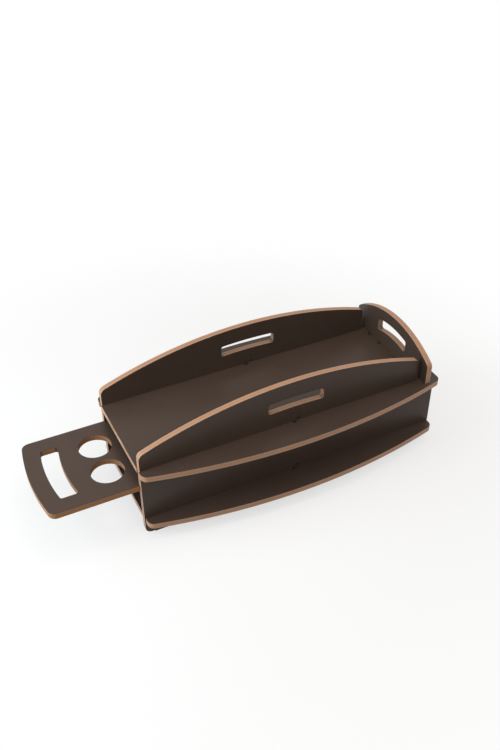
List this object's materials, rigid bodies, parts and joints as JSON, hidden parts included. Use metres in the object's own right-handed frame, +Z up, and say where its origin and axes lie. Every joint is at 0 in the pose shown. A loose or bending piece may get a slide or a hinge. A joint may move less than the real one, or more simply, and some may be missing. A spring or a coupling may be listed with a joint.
{
  "type": "coffee machine stand with pod drawer",
  "caption": "Stand of faced MDF for a slim capsule coffee machine, with arched handle panels and a pull-out board that holds capsules by their rims.",
  "frame": {"origin": "centre of the whole box at rest, on the surface the stand rests on", "axes": "+Z up, -Y the front where the pod board pulls out, +X to the right as seen from the front"},
  "size_m": [0.182, 0.4426, 0.1396],
  "materials": {
    "faced_mdf": "MDF with satin dark brown faces and bare tan routed edges",
    "pad_rubber": "matt black"
  },
  "bodies": {
    "stand": {"top_deck": "faced_mdf", "bottom_deck": "faced_mdf", "right_side_panel": "faced_mdf", "left_side_panel": "faced_mdf", "back_panel": "faced_mdf", "front_right_foot_pad": "pad_rubber", "front_left_foot_pad": "pad_rubber", "rear_right_foot_pad": "pad_rubber", "rear_left_foot_pad": "pad_rubber"},
    "drawer": {"pod_board": "faced_mdf"}
  },
  "joints": [
    {"name": "pod_board_slide", "type": "slide", "parent": "stand", "child": "drawer", "axis": [0, -1, 0], "range_m": [-0.0916, 0.225]}
  ]
}
